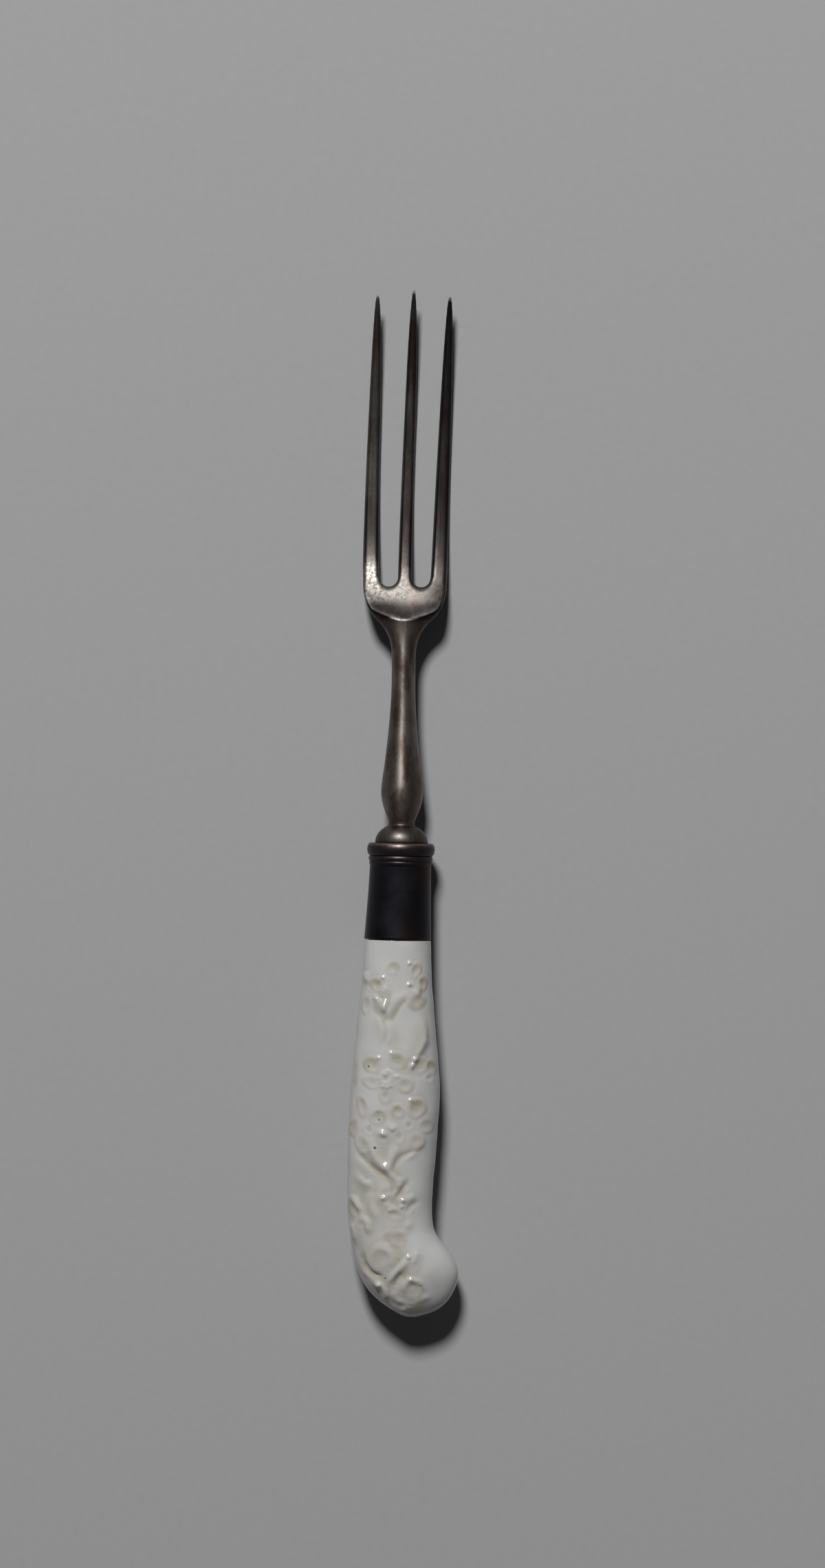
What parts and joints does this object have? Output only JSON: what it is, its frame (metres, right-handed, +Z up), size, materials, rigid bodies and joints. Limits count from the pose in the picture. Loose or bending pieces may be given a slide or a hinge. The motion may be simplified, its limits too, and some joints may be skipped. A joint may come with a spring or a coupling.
{
  "type": "table fork",
  "caption": "Slender forged steel table fork: long pointed tines, a baluster stem, a dark metal ferrule and a hollow porcelain pistol grip moulded with blossom sprigs.",
  "frame": {"origin": "middle of the fork's box, on the table that it lies on", "axes": "+Y along the fork to the tine points, +X to the side that the butt curls to, +Z up, with the hollow side of the tines up"},
  "size_m": [0.0218, 0.1972, 0.0137],
  "materials": {
    "steel": "hand forged, worn and tarnished",
    "ferrule": "silver, blackened with age",
    "porcelain": "thick glossy glaze over moulded relief",
    "cement": "set rosin cement"
  },
  "bodies": {
    "root": {"fork_head": "steel", "ferrule_cap": "ferrule", "ferrule_collar": "ferrule", "ferrule_band": "ferrule", "handle": "porcelain", "cement_core": "cement"}
  },
  "joints": []
}
